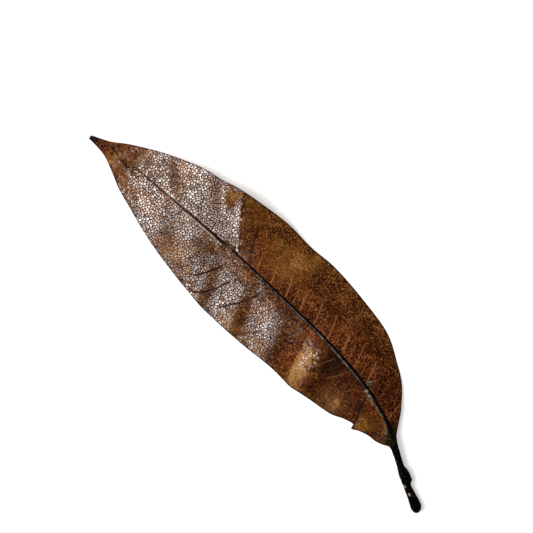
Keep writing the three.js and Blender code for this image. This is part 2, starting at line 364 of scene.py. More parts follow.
def grid_places(columns, rib_columns):
    """Where one face's points lie on the blade, rows by columns from the right edge to the left edge."""
    count = int(round((TIP_STATION - STALK_END_STATION) / ROW_PITCH)) + 1
    stations = np.linspace(STALK_END_STATION, TIP_STATION, count)[:, None]
    index = np.arange(-columns, columns + 1)[None, :]
    row, side, step = np.broadcast_arrays(stations, np.where(index < 0, -1, 1), np.abs(index))
    rib = np.minimum(along(RIB_HALF_WIDTH, row), 0.6 * pick(side, LEFT_EDGE, RIGHT_EDGE, row))
    rib_share = np.minimum(1, step / rib_columns)
    out_share = np.clip((step - rib_columns) / (columns - 1 - rib_columns), 0, 1)
    out_share = 1 - (1 - out_share) ** EDGE_CROWDING
    station = row + along(VEIN_SWEEP, row) * (0.6 * out_share + 0.4 * out_share**2)
    width = pick(side, LEFT_EDGE, RIGHT_EDGE, station)
    at_rim = step == columns
    round_off = np.minimum(EDGE_ROUND, 0.3 * width)
    reach = np.where(at_rim, width, rib * rib_share + (width - round_off - rib) * out_share)
    px, py = plan_point(station, reach * side)
    return SimpleNamespace(
        row=row, side=side, station=station, width=width, reach=reach, share=reach / width, px=px, py=py,
        rib=rib, rib_share=rib_share, at_rim=at_rim, turn=(np.pi / 2) * step / columns,
        flat=smooth_step(*ROUND_TO_FLAT, station),
    )


def top_height(at, under, dome):
    """Height of the blade's top, with a groove on both sides of the midrib."""
    foot = RIB_GROOVE * bell(at.reach, at.rib * 1.15, 0.35 * at.rib + 0.1)
    foot = foot * smooth_step(150, 110, at.station) * smooth_step(2, 10, at.station)
    rough = RIB_ROUGHNESS * noise(at.station / 1.3, at.reach * 3, seed=61)
    ridge = dome * along(RIB_TOP_HEIGHT, at.station) + rough * dome
    return under + THICKNESS + ridge + top_relief(at) - foot


def under_height(at, under, dome):
    """Height of the blade's underside, with the midrib and side veins standing down from it."""
    veins = VEIN_UNDER * vein_profile(at.row, at.side, VEIN_SPREAD) * smooth_step(0, 0.06, at.share)
    return np.maximum(0, under - dome * along(RIB_UNDER_HEIGHT, at.station) - veins * (1 - at.share**2))


def blade_height(at, face):
    """Height of one face of the blade; both meet halfway at the rim."""
    under = underside(at.station, at.side, at.share)
    dome = np.sqrt(np.maximum(0, 1 - at.rib_share**2))
    height = top_height if face == "top" else under_height
    return np.where(at.at_rim, under + THICKNESS / 2, height(at, under, dome))


def stalk_form(at, face):
    """Reach and height of the same points on the round, knobbly stalk."""
    up = 1 if face == "top" else -1
    around = at.turn * at.side
    depth = np.minimum((along(LEFT_EDGE, at.station) + along(RIGHT_EDGE, at.station)) / 2, STALK_HALF_DEPTH)
    bark = COARSE_BARK * noise(at.station / 1.1, around * 3.2 * up + 7, seed=71)
    bark = bark + FINE_BARK * noise(at.station / 0.45, around * 7 * up, seed=72)
    bark = bark * smooth_step(-30, -28.5, at.station)
    reach = at.width * np.sin(at.turn) + bark * np.sin(at.turn) * 0.6
    return reach, np.maximum(0, along(AXIS_HEIGHT, at.station) + up * (depth + bark) * np.cos(at.turn))


def leaf_grid(columns, rib_columns, face):
    """Points of one face and where they lie, turning from the round stalk into the flat blade."""
    at = grid_places(columns, rib_columns)
    stalk_reach, stalk_height = stalk_form(at, face)
    height = stalk_height + (blade_height(at, face) - stalk_height) * at.flat
    at.reach = stalk_reach + (at.reach - stalk_reach) * at.flat
    at.px, at.py = plan_point(at.station, at.reach * at.side)
    return np.stack([at.px, at.py, height], -1), at


# Lightness of each half's skin by station, from 0 for nearly black to 1 for straw
LEFT_TONE = [
    (0, 0.4), (20, 0.45), (40, 0.42), (60, 0.45), (80, 0.48), (120, 0.48), (155, 0.6), (168, 0.68),
    (178, 0.58), (190, 0.5),
]
RIGHT_TONE = [
    (0, 0.3), (20, 0.36), (40, 0.4), (60, 0.43), (76, 0.45), (100, 0.47), (130, 0.5), (155, 0.61),
    (170, 0.56), (190, 0.5),
]
UNDER_TONE = 0.62
UNDER_MATT = 0.8
# How much lighter or darker the skin's broad patches, small patches, fibres and tear are, and how strong the
# painted light on the left fold is
BROAD_TONE = 0.12
SMALL_TONE = 0.09
FIBRE_TONE = 0.07
# Strength of the painted light on the left fold
FOLD_PAINTED_LIGHT = 0.22
TEAR_TONE = 0.1
# Soft ellipses where the top is lighter, and others where it is darker; the first two lighter ones are
# painted light on the lit band before the left fold
GOLDEN = [
    (52, 8, 4.5, 9, 22, 0.3), (55, -2, 4, 6, 22, 0.2), (61, 6, 2.5, 8, 22, 0.04), (30, 8, 5, 5, -10, 0.15),
    (28.5, 8, 2.2, 3.2, 30, 0.14), (31.5, 4, 1.4, 2.2, 30, 0.1), (25.5, -13, 2, 2.5, 0, 0.09),
    (22, -11, 1.2, 1.5, 0, 0.08), (170, 2, 6, 3, -25, 0.14), (11, 3, 7, 4.5, 0, 0.24),
    (16, 0, 4, 4, -30, 0.1), (38, 8, 5, 6, 0, 0.06), (78, 15, 7, 4, 0, 0.15), (88, 14, 3.5, 3.5, 0, 0.12),
    (131, 8, 9, 6, -20, 0.12), (138, 12, 6, 3, 0, 0.1), (89, -26, 9, 12, -15, 0.06),
    (84, -27, 3, 6, -25, 0.08), (113, -27, 7, 5, 10, 0.15), (126.5, -26, 3.5, 4, 0, 0.2),
    (176, -2, 9, 6, 0, 0.05), (156, -16, 6, 3, 0, 0.05), (56, -26, 10, 6, 0, 0.04),
]
DARK = [
    (66.5, 8, 4, 9, 15, 0.2), (46, -3.5, 4, 5, 0, 0.5), (42.5, 5, 4, 7, 10, 0.13),
    (103, -25, 4, 9, -10, 0.08), (108, 10, 3, 7, 0, 0.08), (120, -1, 5, 4, 0, 0.1),
    (155, -18, 6, 2.5, 10, 0.1), (72, -3, 4, 4, 0, 0.05), (14, -13, 9, 8, 0, 0.14),
    (15.5, -8.5, 3, 3.5, -60, 0.16), (40, 6, 2.5, 5, 0, 0.06),
    (140, -20, 8, 3, 5, 0.05), (22, 6, 3, 5, 0, 0.08), (33, -24, 7, 4, -20, 0.11), (64, -17, 6, 4, 30, 0.11),
    (71, -28, 5, 5, 0, 0.12), (24, -12, 3, 5, 0, 0.12), (48, -28, 6, 3, 0, 0.06), (100, -4, 12, 3, 0, 0.1),
    (60.5, 6, 3, 8, 22, 0.08), (38, -6.5, 12, 2.5, 0, 0.12), (55, -6.5, 6, 2, 0, 0.08),
    (42, -12.5, 26, 3, -3, 0.06),
]
# The golden patch of the right half, between two lines that run out from the midrib
GOLD_FROM = [(68, -11), (72.5, -17), (76.5, -25), (80.5, -35)]
GOLD_TO = [(95, -9), (98.5, -15), (99, -24), (97, -35)]
GOLD_LIFT = 0.085
# A reddish patch, patches where the skin is matt, and one that is rugged outside the main area
RUDDY_PATCH = (61.5, 6, 5, 10, 20, 0.8)
MATT = [
    (5, 1, 4.5, 4, 0, 0.5), (49, 11, 5, 8, 22, 0.55), (54.5, 0, 4, 6, 22, 0.3), (127, -26, 3, 4, -25, 0.3),
]
RUGGED_PATCH = (54.5, 0, 4, 6, 22, 0.8)
# Stations between which the shine starts on each half, comes in to the midrib and ends at the tip
LEFT_SHINE = (58, 70)
RIGHT_SHINE = (98, 106)
MIDRIB_SHINE = (108, 122)
TIP_DULL = (180, 160)
# Shares of the wax, and of the matt sheen under it, that are left beside the midrib
WAX_AT_RIB = 0.4
SHEEN_AT_RIB = 0.3
# Patches where the wax shines beyond its main areas, and patches inside them where it has worn off
WAXED = [(54.5, -1, 4.5, 7, 22, 0.7), (51.5, 8, 3.5, 7, 22, 0.15), (29, 8, 3, 3, 0, 0.2)]
WORN = [
    (126.5, -26.5, 4, 5, 0, 1), (119, -1.5, 7, 4.5, 0, 0.9), (155, -18, 7, 3, 10, 0.1),
    (131, 8, 8, 6, -20, 0.4), (87, 10, 2.5, 8, 10, 0.1), (118, 14, 5, 4, 0, 0.3), (72, -4, 8, 3, 0, 0.5),
    (138, 12, 5, 3, 0, 0.3), (116, 7, 4, 8, 10, 0.4), (66, 7, 3.3, 9, 15, 0.9), (98, -4.5, 14, 3.3, 0, 0.65),
    (96, 10, 5, 8, 10, 0.05),
]
# Black dots as (station, left, radius), and peeled bark as (station, left, half length, half breadth)
BLACK_DOTS = [
    (140.3, 3, 0.6), (170.5, -2.2, 0.4), (172, -2.6, 0.45), (173.4, -1.6, 0.4), (175.4, -2.6, 0.45),
    (176.9, -3.1, 0.4), (178.2, -1.6, 0.4), (179.3, -3.2, 0.6), (180.6, -1.2, 0.4), (181.5, -2.2, 0.45),
    (182.8, -1.6, 0.5), (183.6, -0.6, 0.45), (168.2, -2.8, 0.35),
]
PEELED = [(-16.9, 10.4, 0.9, 0.45), (-20.8, 11.4, 0.8, 0.6)]


def ragged_place(px, py):
    """Plan points pushed about, so that the ellipses read there have ragged borders."""
    across = px + 2.4 * noise(px / 5, py / 5, seed=83) + noise(px / 2, py / 2, seed=85)
    return across, py + 2.4 * noise(px / 5, py / 5, seed=84)


def half_tone(at):
    """Lightness from the tables of both halves, evened out over the midrib."""
    own = pick(at.side, LEFT_TONE, RIGHT_TONE, at.station)
    both = 0.5 * (along(LEFT_TONE, at.station) + along(RIGHT_TONE, at.station))
    near_rib = smooth_step(0, 5, at.reach)
    return both * (1 - near_rib) + own * near_rib


def gold_mask(at):
    """1 in the golden patch of the right half."""
    ragged = 0.9 * noise(at.px / 1.6, at.py / 1.6, seed=112)
    after = smooth_step(-1, 1, past_line(GOLD_FROM, at.px, at.py) + ragged)
    before = smooth_step(1, -1, past_line(GOLD_TO, at.px, at.py) + ragged)
    return after * before * (at.side < 0) * smooth_step(3, 9, at.reach)


def fold_painted_light(at):
    """Painted light on the base side of the left fold, where its slope faces the light."""
    fold = past_line(LEFT_FOLD, at.px, at.py)
    lit = FOLD_PAINTED_LIGHT * smooth_step(-0.3, 0.3, -fold) * bell(fold, 0, 5)
    return np.where(at.side > 0, lit, 0) * smooth_step(-7, -2, at.py)


def tear_shade(at):
    """Lighter skin before the torn line and darker skin beyond it."""
    tear = past_line(TEAR, at.px, at.py)
    beyond = smooth_step(-0.2, 0.2, tear)
    return (TEAR_TONE - 2 * TEAR_TONE * beyond) * bell(tear, 0, 3) * (at.side > 0)


def fibres(at):
    """Fine streaks that run out along the veins near the base."""
    streaks = noise(at.station / 1.3, at.reach / 7, seed=87)
    streaks = streaks + 0.6 * noise(at.station / 0.6, at.reach / 5, seed=88)
    return FIBRE_TONE * streaks * smooth_step(75, 30, at.px) * smooth_step(0, 6, at.px)


def top_tone(at, gold):
    """Lightness of the top's skin, with painted light on the left fold."""
    px, py = at.px, at.py
    ragged_x, ragged_y = ragged_place(px, py)
    tone = half_tone(at) + BROAD_TONE * noise(px / 8, py / 6, seed=81)
    tone = tone + SMALL_TONE * noise(px / 3.2, py / 3.2, seed=82)
    for spot in GOLDEN:
        tone = tone + blob(ragged_x, ragged_y, spot)
    for spot in DARK:
        tone = tone - blob(ragged_x, ragged_y, spot)
    return tone + GOLD_LIFT * gold + fold_painted_light(at) + tear_shade(at) + fibres(at)


def under_tone(at):
    """Lightness of the underside's skin."""
    px, py = at.px, at.py
    return UNDER_TONE + 0.05 * noise(px / 9, py / 6, seed=91) + 0.05 * noise(px / 3, py / 3, seed=92)


def crease_mask(px, py):
    """The dark line in every crease, faded at its ends."""
    creased = np.zeros(px.shape)
    for line, _, spread, dark in CREASES:
        away, place = to_line(line, px, py)
        fade = smooth_step(0, 0.05, place) * smooth_step(1, 0.9, place)
        creased = np.maximum(creased, 0.8 * dark * fade * np.exp(-((away / (0.2 + spread)) ** 4)))
    return creased


def ruddy_mask(at, gold):
    """Redder skin beside the midrib, wider on the right half, and at the tip."""
    px = at.px
    beside_rib = smooth_step(np.where(at.side > 0, 9, 26), 3, at.reach)
    beside_rib = beside_rib * smooth_step(125, 95, px) * smooth_step(0, 12, px)
    left = (1 - 0.7 * smooth_step(50, 75, px)) * (1 - 0.6 * smooth_step(26, 14, px))
    beside_rib = beside_rib * np.where(at.side > 0, left, 1)
    ruddy = np.maximum(beside_rib * (1 - 0.8 * gold), 0.55 * smooth_step(162, 174, px))
    return np.clip(np.maximum(ruddy, blob(*ragged_place(px, at.py), RUDDY_PATCH)), 0, 1)


def shiny_area(at, beside_rib):
    """1 in the areas that still shine, with a smaller share of it beside the midrib, and 0 elsewhere."""
    px, py = at.px, at.py
    past_fold = past_line(RIGHT_FOLD, px, py)
    right = smooth_step(-2.4, 0, past_fold) * smooth_step(*RIGHT_SHINE, px)
    right = np.maximum(right, 0.3 * smooth_step(-10, -6, past_fold) * smooth_step(98, 102, px))
    area = np.where(at.side > 0, smooth_step(*LEFT_SHINE, px), right)
    near = 1 - 0.75 * smooth_step(80, 92, px)
    out = np.maximum(smooth_step(2 * near, 9 * near, at.reach), smooth_step(*MIDRIB_SHINE, px))
    to_tip = smooth_step(*TIP_DULL, px + 3 * noise(px / 4, py / 4, seed=109))
    return area * (beside_rib + (1 - beside_rib) * out) * to_tip


def wax_mask(at):
    """Thickness of the wax, with a brighter streak beyond the right fold."""
    px, py = at.px, at.py
    ragged_x, ragged_y = ragged_place(px, py)
    wax = shiny_area(at, WAX_AT_RIB)
    for spot in WORN:
        wax = wax * (1 - blob(ragged_x, ragged_y, spot))
    streak = 0.4 * bell(past_line(RIGHT_FOLD, px, py), 1.3, 1.5) * (at.side < 0) * smooth_step(2, 9, at.reach)
    wax = np.maximum(wax * (1 + streak), spots(WAXED, ragged_x, ragged_y))
    return np.clip(wax * (0.8 + 0.25 * noise(px / 1.8, py / 1.8, seed=110)), 0, 2)


def matt_mask(at):
    """How matt the skin is."""
    matt = 0.3 * shiny_area(at, SHEEN_AT_RIB) + 0.04 * noise(at.px / 6, at.py / 6, seed=104)
    for spot in MATT:
        matt = matt + blob(at.px, at.py, spot)
    return np.clip(matt, 0, 1)


def mottle_mask(at, tone):
    """Where the skin is mottled: its darker parts, and less so on the left half near the base."""
    return smooth_step(0.62, 0.4, tone) * np.where(at.side > 0, 0.35 + 0.65 * smooth_step(50, 62, at.px), 1)


def midrib_masks(at):
    """The dark midrib, slim at both ends of the blade: its own dark colour with painted shade on the side
    away from the light, and a painted highlight with flakes along its top.
    """
    px, py = at.px, at.py
    across = at.reach * at.side / at.rib
    slim = 0.4 * smooth_step(95, 128, px)
    rib_mask = smooth_step(1.18 - slim, 0.9 - slim, np.abs(across + 0.1 + 0.3 * slim))
    rib_mask = rib_mask * smooth_step(172, 158, at.station)
    slender = smooth_step(0.7, 0.42, np.abs(across + 0.2))
    rib_mask = rib_mask * (slender + (1 - slender) * smooth_step(16, 26, px)) * smooth_step(0, 3, at.station)
    flaky = 0.35 + 0.9 * noise(px / 1.2, py / 1.2, seed=111) * smooth_step(34, 24, px)
    crown_highlight = bell(across, 0.3, 0.36) * smooth_step(122, 104, px) * smooth_step(8, 14, px)
    return rib_mask, np.clip(crown_highlight * (flaky + 0.65 * smooth_step(24, 34, px)), 0, 1)


def vein_masks(at):
    """The pale side veins of the base half, and painted shade in the sunken side veins of the tip half."""
    px, py = at.px, at.py
    veins = vein_profile(at.row, at.side, 0.19) * smooth_step(0.03, 0.1, at.share)
    reach = at.reach + 0.6 * noise(at.row / 3, at.side * 5, seed=106)
    pale = veins * smooth_step(14, 6, reach) * (1 + 0.5 * noise(px / 1.5, py / 1.5, seed=105))
    pale = pale * smooth_step(108, 92, px) * (0.4 + 0.6 * smooth_step(20, 32, px))
    pale = np.clip(2.2 * pale * (0.28 + 0.72 * (at.side < 0)) - 0.15, 0, 1)
    return pale, veins * smooth_step(92, 106, px) * smooth_step(176, 150, px)


def stalk_mask(at):
    """1 on the stalk, running out onto the foot of the blade."""
    from_base = at.station + 1.5 * np.abs(at.reach * at.side + 0.7)
    return 1 - smooth_step(3, 11, from_base + 1.8 * noise(at.px / 1.5, at.py / 1.5, seed=101))


def edge_mask(at):
    """The dark line round the blade's edge, faint at the tip."""
    return smooth_step(0.8, 0.35, at.width - at.reach) * at.flat * (1 - 0.7 * smooth_step(172, 180, at.px))


def dot_mask(px, py):
    """The black dots."""
    dots = np.zeros(px.shape)
    for cx, cy, radius in BLACK_DOTS:
        dots = np.maximum(dots, smooth_step(1.5 * radius, 0.8 * radius, np.hypot(px - cx, py - cy)))
    return dots


def peeled_mask(px, py):
    """Where the stalk's bark has peeled off."""
    peeled = np.zeros(px.shape)
    for cx, cy, length, breadth in PEELED:
        spread = np.hypot((px - cx) / length, (py - cy) / breadth)
        peeled = np.maximum(peeled, smooth_step(1.1, 0.6, spread + 0.3 * noise(px * 2, py * 2, seed=103)))
    return peeled


def rib_side_highlight_mask(at):
    """A painted highlight beside the midrib, one stretch on each half."""
    px, py = at.px, at.py
    beside = bell(at.reach, at.rib + 0.15, 0.34) * (0.6 + 0.4 * noise(px / 1.5, py, seed=108))
    left = 0.7 * smooth_step(116, 121, px) * smooth_step(137, 133, px)
    right = smooth_step(135, 138, px) * smooth_step(160, 143, px)
    return beside * np.where(at.side > 0, left, right)


def leaf_masks(at, face):
    """Every mask that the materials and their slots read, by its attribute name."""
    px, py = at.px, at.py
    gold = gold_mask(at)
    tone = top_tone(at, gold) if face == "top" else under_tone(at)
    rugged = np.maximum(0.1 + 0.9 * shiny_area(at, WAX_AT_RIB), blob(px, py, RUGGED_PATCH))
    rib_mask, crown_highlight = midrib_masks(at)
    pale_vein, vein_groove_shade = vein_masks(at)
    on_stalk = stalk_mask(at)
    masks = {
        "tone": tone,
        "mottle": mottle_mask(at, tone),
        "ruddy": ruddy_mask(at, gold),
        "rugged": rugged,
        "glary": smooth_step(0.3, 0.8, rugged),
        "wax": wax_mask(at),
        "matt": matt_mask(at),
        "creased": crease_mask(px, py),
        # The midrib with painted shade on one side, and a painted highlight along its top
        "rib_mask": rib_mask,
        "crown_highlight": crown_highlight,
        "pale_vein": pale_vein,
        # Painted shade in the sunken side veins of the tip half
        "vein_groove_shade": vein_groove_shade,
        "stalk_mask": on_stalk,
        "bark": np.maximum(on_stalk, rib_mask * smooth_step(121, 119, px)),
        "mossy": smooth_step(-1.5, 1.5, px) * smooth_step(14, 8, px),
        "edge_mask": edge_mask(at),
        "tip_mask": smooth_step(184, 187.5, px + 0.8 * noise(px, py, seed=102)),
        # A painted highlight beside the midrib
        "rib_side_highlight": rib_side_highlight_mask(at),
        "crust": spots(CRUSTS, px, py),
        "dots": dot_mask(px, py),
        "peeled": peeled_mask(px, py),
    }
    if face == "under":
        for name in ("creased", "rib_side_highlight", "crust", "dots", "peeled"):
            masks[name] = np.zeros(px.shape)
        masks["matt"] = np.full(px.shape, UNDER_MATT)
    return masks


def quads(ids, flip):
    """Four-sided faces between the points of a grid, wound the other way round where flip is set."""
    a, b, c, d = ids[:-1, :-1], ids[1:, :-1], ids[1:, 1:], ids[:-1, 1:]
    order = (a, d, c, b) if flip else (a, b, c, d)
    return np.stack(order, -1).reshape(-1, 4)


def leaf_faces(rows, wide, narrow):
    """Faces of the top, of the underside, which shares the top's rims, and of the two ends."""
    top_id = np.arange(rows * wide).reshape(rows, wide)
    inner_id = rows * wide + np.arange(rows * (narrow - 2)).reshape(rows, narrow - 2)
    low_id = np.concatenate([top_id[:, :1], inner_id, top_id[:, -1:]], axis=1)
    stalk_end, tip_end = (np.concatenate([top_id[row], inner_id[row][::-1]]) for row in (0, -1))
    return quads(top_id, False), quads(low_id, True), [stalk_end, tip_end[::-1]]


def per_point(top_values, low_values):
    """One value for each mesh point: the top's, then the underside's without the rims they share."""
    return np.concatenate([top_values.reshape(-1), low_values[:, 1:-1].reshape(-1)])


def build_leaf():
    """One closed mesh: top, underside and a rounded rim that they share. Also the middle of its plan."""
    top, top_places = leaf_grid(TOP_COLUMNS, RIB_COLUMNS, "top")
    low, low_places = leaf_grid(UNDER_COLUMNS, UNDER_RIB_COLUMNS, "under")
    points = np.concatenate([top.reshape(-1, 3), low[:, 1:-1].reshape(-1, 3)])
    middle = (points[:, :2].min(0) + points[:, :2].max(0)) / 2
    points[:, :2] -= middle
    points *= MM

    top_quads, low_quads, ends = leaf_faces(top.shape[0], top.shape[1], low.shape[1])
    sides = np.concatenate([top_quads, low_quads])
    mesh = bpy.data.meshes.new("dried_leaf")
    mesh.from_pydata(points.tolist(), [], sides.tolist() + [end.tolist() for end in ends])
    mesh.validate()
    mesh.polygons.foreach_set("use_smooth", [True] * len(mesh.polygons))

    top_masks, low_masks = leaf_masks(top_places, "top"), leaf_masks(low_places, "under")
    for name in top_masks:
        attribute = mesh.attributes.new(name, "FLOAT", "POINT")
        values = per_point(top_masks[name], low_masks[name])
        attribute.data.foreach_set("value", values.astype(np.float32))
    bark = per_point(top_masks["bark"], low_masks["bark"])
    slots = np.zeros(len(mesh.polygons), np.int32)
    slots[:-2] = bark[sides].mean(1) > BARK_SHARE
    slots[-2] = 1
    mesh.polygons.foreach_set("material_index", slots)
    add_bake_map(mesh, len(top_quads))
    mesh.update()
    return mesh, middle


# The bake map's strips along the leaf, and the gap round each
STRIPS = 3
STRIP_GAP = 1.0


def add_bake_map(mesh, top_faces):
    """A flat map for baking: both faces seen square on, each cut across into strips laid side by side."""
    low, high = Vector(cad_box[0]) / MM, Vector(cad_box[1]) / MM
    length, breadth = (high.x - low.x) / STRIPS, high.y - low.y
    scale = 1 / max(2 * (length + 2 * STRIP_GAP), STRIPS * (breadth + 2 * STRIP_GAP))
    layer = mesh.uv_layers.new(name="OFBake")
    co = np.zeros(len(mesh.vertices) * 3)
    mesh.vertices.foreach_get("co", co)
    co = co.reshape(-1, 3) / MM
    corners = np.zeros(len(mesh.loops), int)
    mesh.loops.foreach_get("vertex_index", corners)
    starts = np.zeros(len(mesh.polygons), int)
    counts = np.zeros(len(mesh.polygons), int)
    mesh.polygons.foreach_get("loop_start", starts)
    mesh.polygons.foreach_get("loop_total", counts)
    face_of = np.repeat(np.arange(len(counts)), counts)
    centre_x = np.add.reduceat(co[corners, 0], starts) / counts
    strip = np.clip(((centre_x - low.x) // length).astype(int), 0, STRIPS - 1)[face_of]
    column = (face_of >= top_faces).astype(int)
    x = co[corners, 0] - low.x - strip * length + STRIP_GAP + column * (length + 2 * STRIP_GAP)
    y = co[corners, 1] - low.y + STRIP_GAP + strip * (breadth + 2 * STRIP_GAP)
    layer.data.foreach_set("uv", (np.stack([x, y], -1) * scale).astype(np.float32).reshape(-1))


class Nodes:
    """A short way to build a material's nodes."""

    def __init__(self, name):
        self.material = bpy.data.materials.new(name)
        self.material.use_nodes = True
        self.tree = self.material.node_tree
        self.shader = self.tree.nodes["Principled BSDF"]

    def add(self, kind, inputs=None, **settings):
        new = self.tree.nodes.new(kind)
        for key, value in settings.items():
            setattr(new, key, value)
        for key, value in (inputs or {}).items():
            self.put(new.inputs[key], value)
        return new

    def put(self, socket, value):
        if isinstance(value, bpy.types.NodeSocket):
            self.tree.links.new(value, socket)
        else:
            socket.default_value = value

    def set(self, **values):
        """Inputs of the shader, with underscores for the spaces in their names."""
        for name, value in values.items():
            self.put(self.shader.inputs[name.replace("_", " ")], value)

    def place(self):
        return self.add("ShaderNodeTexCoord").outputs["Object"]

    def mask(self, name):
        return self.add("ShaderNodeAttribute", attribute_name=name).outputs["Fac"]

    def plus(self, a, b, clamp=False):
        return self.add("ShaderNodeMath", {0: a, 1: b}, operation="ADD", use_clamp=clamp).outputs[0]

    def minus(self, a, b):
        return self.add("ShaderNodeMath", {0: a, 1: b}, operation="SUBTRACT").outputs[0]

    def times(self, a, b, clamp=False):
        return self.add("ShaderNodeMath", {0: a, 1: b}, operation="MULTIPLY", use_clamp=clamp).outputs[0]

    def vector(self, kind, a, b):
        """Vector maths on a and b, which is the factor in a SCALE."""
        other = "Scale" if kind == "SCALE" else 1
        new = self.add("ShaderNodeVectorMath", {0: a, other: b}, operation=kind)
        return new.outputs["Value" if kind == "DOT_PRODUCT" else "Vector"]

    def mix(self, share, a, b, kind="MIX"):
        new = self.add("ShaderNodeMix", data_type="RGBA", blend_type=kind)
        self.put(new.inputs[0], share)
        self.put(new.inputs[6], a)
        self.put(new.inputs[7], b)
        return new.outputs[2]

    def ramp(self, value, stops):
        """Grey or coloured stops as (place, value)."""
        new = self.add("ShaderNodeValToRGB", {"Fac": value})
        points = new.color_ramp.elements
        while len(points) < len(stops):
            points.new(0.5)
        for point, (place, colour) in zip(points, stops):
            point.position = place
            point.color = (*colour, 1) if isinstance(colour, tuple) else (colour, colour, colour, 1)
        return new.outputs["Color"]

    def noise(self, place, scale, detail=4, rough=0.55):
        inputs = {"Vector": place, "Scale": scale, "Detail": detail, "Roughness": rough}
        return self.add("ShaderNodeTexNoise", inputs).outputs["Fac"]

    def bump(self, height, depth):
        """A normal for a height from 0 to 1 that stands for a depth in millimetres."""
        inputs = {"Strength": 1.0, "Distance": depth * MM, "Height": height}
        return self.add("ShaderNodeBump", inputs).outputs["Normal"]


# Scales of the textures, in features per metre
AREOLE_SCALE = 1 / (1.2 * MM)
BEND_SCALE = 420.0
STAIN_SCALE = 120.0
PATCH_SCALE = 130.0
FLAKE_SCALE = 700.0
SPECK_SCALE = 1150.0
GRIT_SCALE = 1300.0
GRAIN_SCALE = 1900.0
FLOOR_SCALE = 6.0

# Colours of the leaf's skin
LEAF_TONES = [
    (0.0, (0.012, 0.003, 0.001)), (0.2, (0.035, 0.0078, 0.0024)), (0.4, (0.09, 0.0235, 0.0045)),
    (0.6, (0.158, 0.054, 0.008)), (0.8, (0.285, 0.126, 0.022)), (1.0, (0.5, 0.27, 0.08)),
]
STAIN_TINT = (0.94, 0.62, 0.7, 1)
RUDDY_TINT = (1.02, 0.74, 0.9, 1)
GRIT_COLOUR = (0.19, 0.058, 0.016, 1)
VEIN_COLOUR = (0.43, 0.19, 0.08, 1)
CREASE_COLOUR = (0.034, 0.0105, 0.006, 1)
EDGE_COLOUR = (0.015, 0.005, 0.003, 1)
# The midrib's dark colour: partly its own, partly painted shade on its side away from the light
RIB_AND_SHADE_COLOUR = (0.026, 0.0095, 0.006, 1)
DOT_COLOUR = (0.003, 0.002, 0.002, 1)
# A painted highlight beside the midrib
RIB_SIDE_HIGHLIGHT_COLOUR = (0.75, 0.68, 0.62, 1)
# A painted highlight along the top of the midrib
CROWN_HIGHLIGHT_TONES = [(0.35, (0.035, 0.024, 0.022)), (0.7, (0.22, 0.165, 0.155))]
BASE_TONES = [(0.35, (0.004, 0.003, 0.0015)), (0.6, (0.012, 0.011, 0.004)), (0.8, (0.05, 0.04, 0.012))]
CRUST_TONES = [(0.38, (0.01, 0.011, 0.005)), (0.52, (0.16, 0.17, 0.09)), (0.66, (0.5, 0.5, 0.38))]
TIP_TONES = [(0.4, (0.006, 0.003, 0.002)), (0.62, (0.04, 0.02, 0.013)), (0.75, (0.12, 0.1, 0.09))]

# Strength of the stains, patches, specks and grit in the skin's colour
STAIN_SHARE = 0.4
PATCH_CONTRAST = 0.95
SPECK_CONTRAST = 3.0
GRIT_SHARE = 0.75

# The small cells: how far their borders bend, how wide their lines are, and how the wax differs between them
CELL_BEND = 0.9 * MM
MIDDLE = (0.5, 0.5, 0.5)
LINE_WIDTH = 0.19
LEAST_WAX = 0.66
WAX_RANGE = 1.8

# Gloss and bumps of the leaf's skin: the wax shines, and the skin under it is dull
SKIN_ROUGHNESS = 0.33
SKIN_SPECULAR = 0.08
WAX_ROUGHNESS = 0.27
WAX_IOR = 1.7
SKIN_BUMP = 0.08
# Shares of the bump's height
GRAIN_HEIGHT = 0.4
LINE_DEPTH = 0.8
SPECK_HEIGHT = 0.3
SLANT_HEIGHT = 2.4

# Colours, gloss and bumps of the bark
BARK_TONES = [(0.35, (0.0004, 0.0003, 0.0003)), (0.58, (0.0016, 0.0012, 0.001)), (0.72, (0.06, 0.042, 0.03))]
MOSS_TONES = [(0.42, (0.003, 0.0025, 0.001)), (0.58, (0.025, 0.022, 0.006)), (0.75, (0.12, 0.12, 0.05))]
# A painted highlight along the top of the midrib
BARK_CROWN_HIGHLIGHT_TONES = [(0.4, (0.03, 0.02, 0.018)), (0.52, (0.15, 0.105, 0.092)), (0.66, (0.42, 0.33, 0.3))]
PEELED_DARK = (0.22, 0.12, 0.07, 1)
PEELED_PALE = (0.62, 0.47, 0.34, 1)
# The midrib's dark colour on the bark: partly its own, partly painted shade
BARK_RIB_AND_SHADE_COLOUR = (0.0045, 0.002, 0.0016, 1)
BARK_ROUGHNESS = 0.5
BARK_SPECULAR = 0.03
BARK_BUMP = 0.15


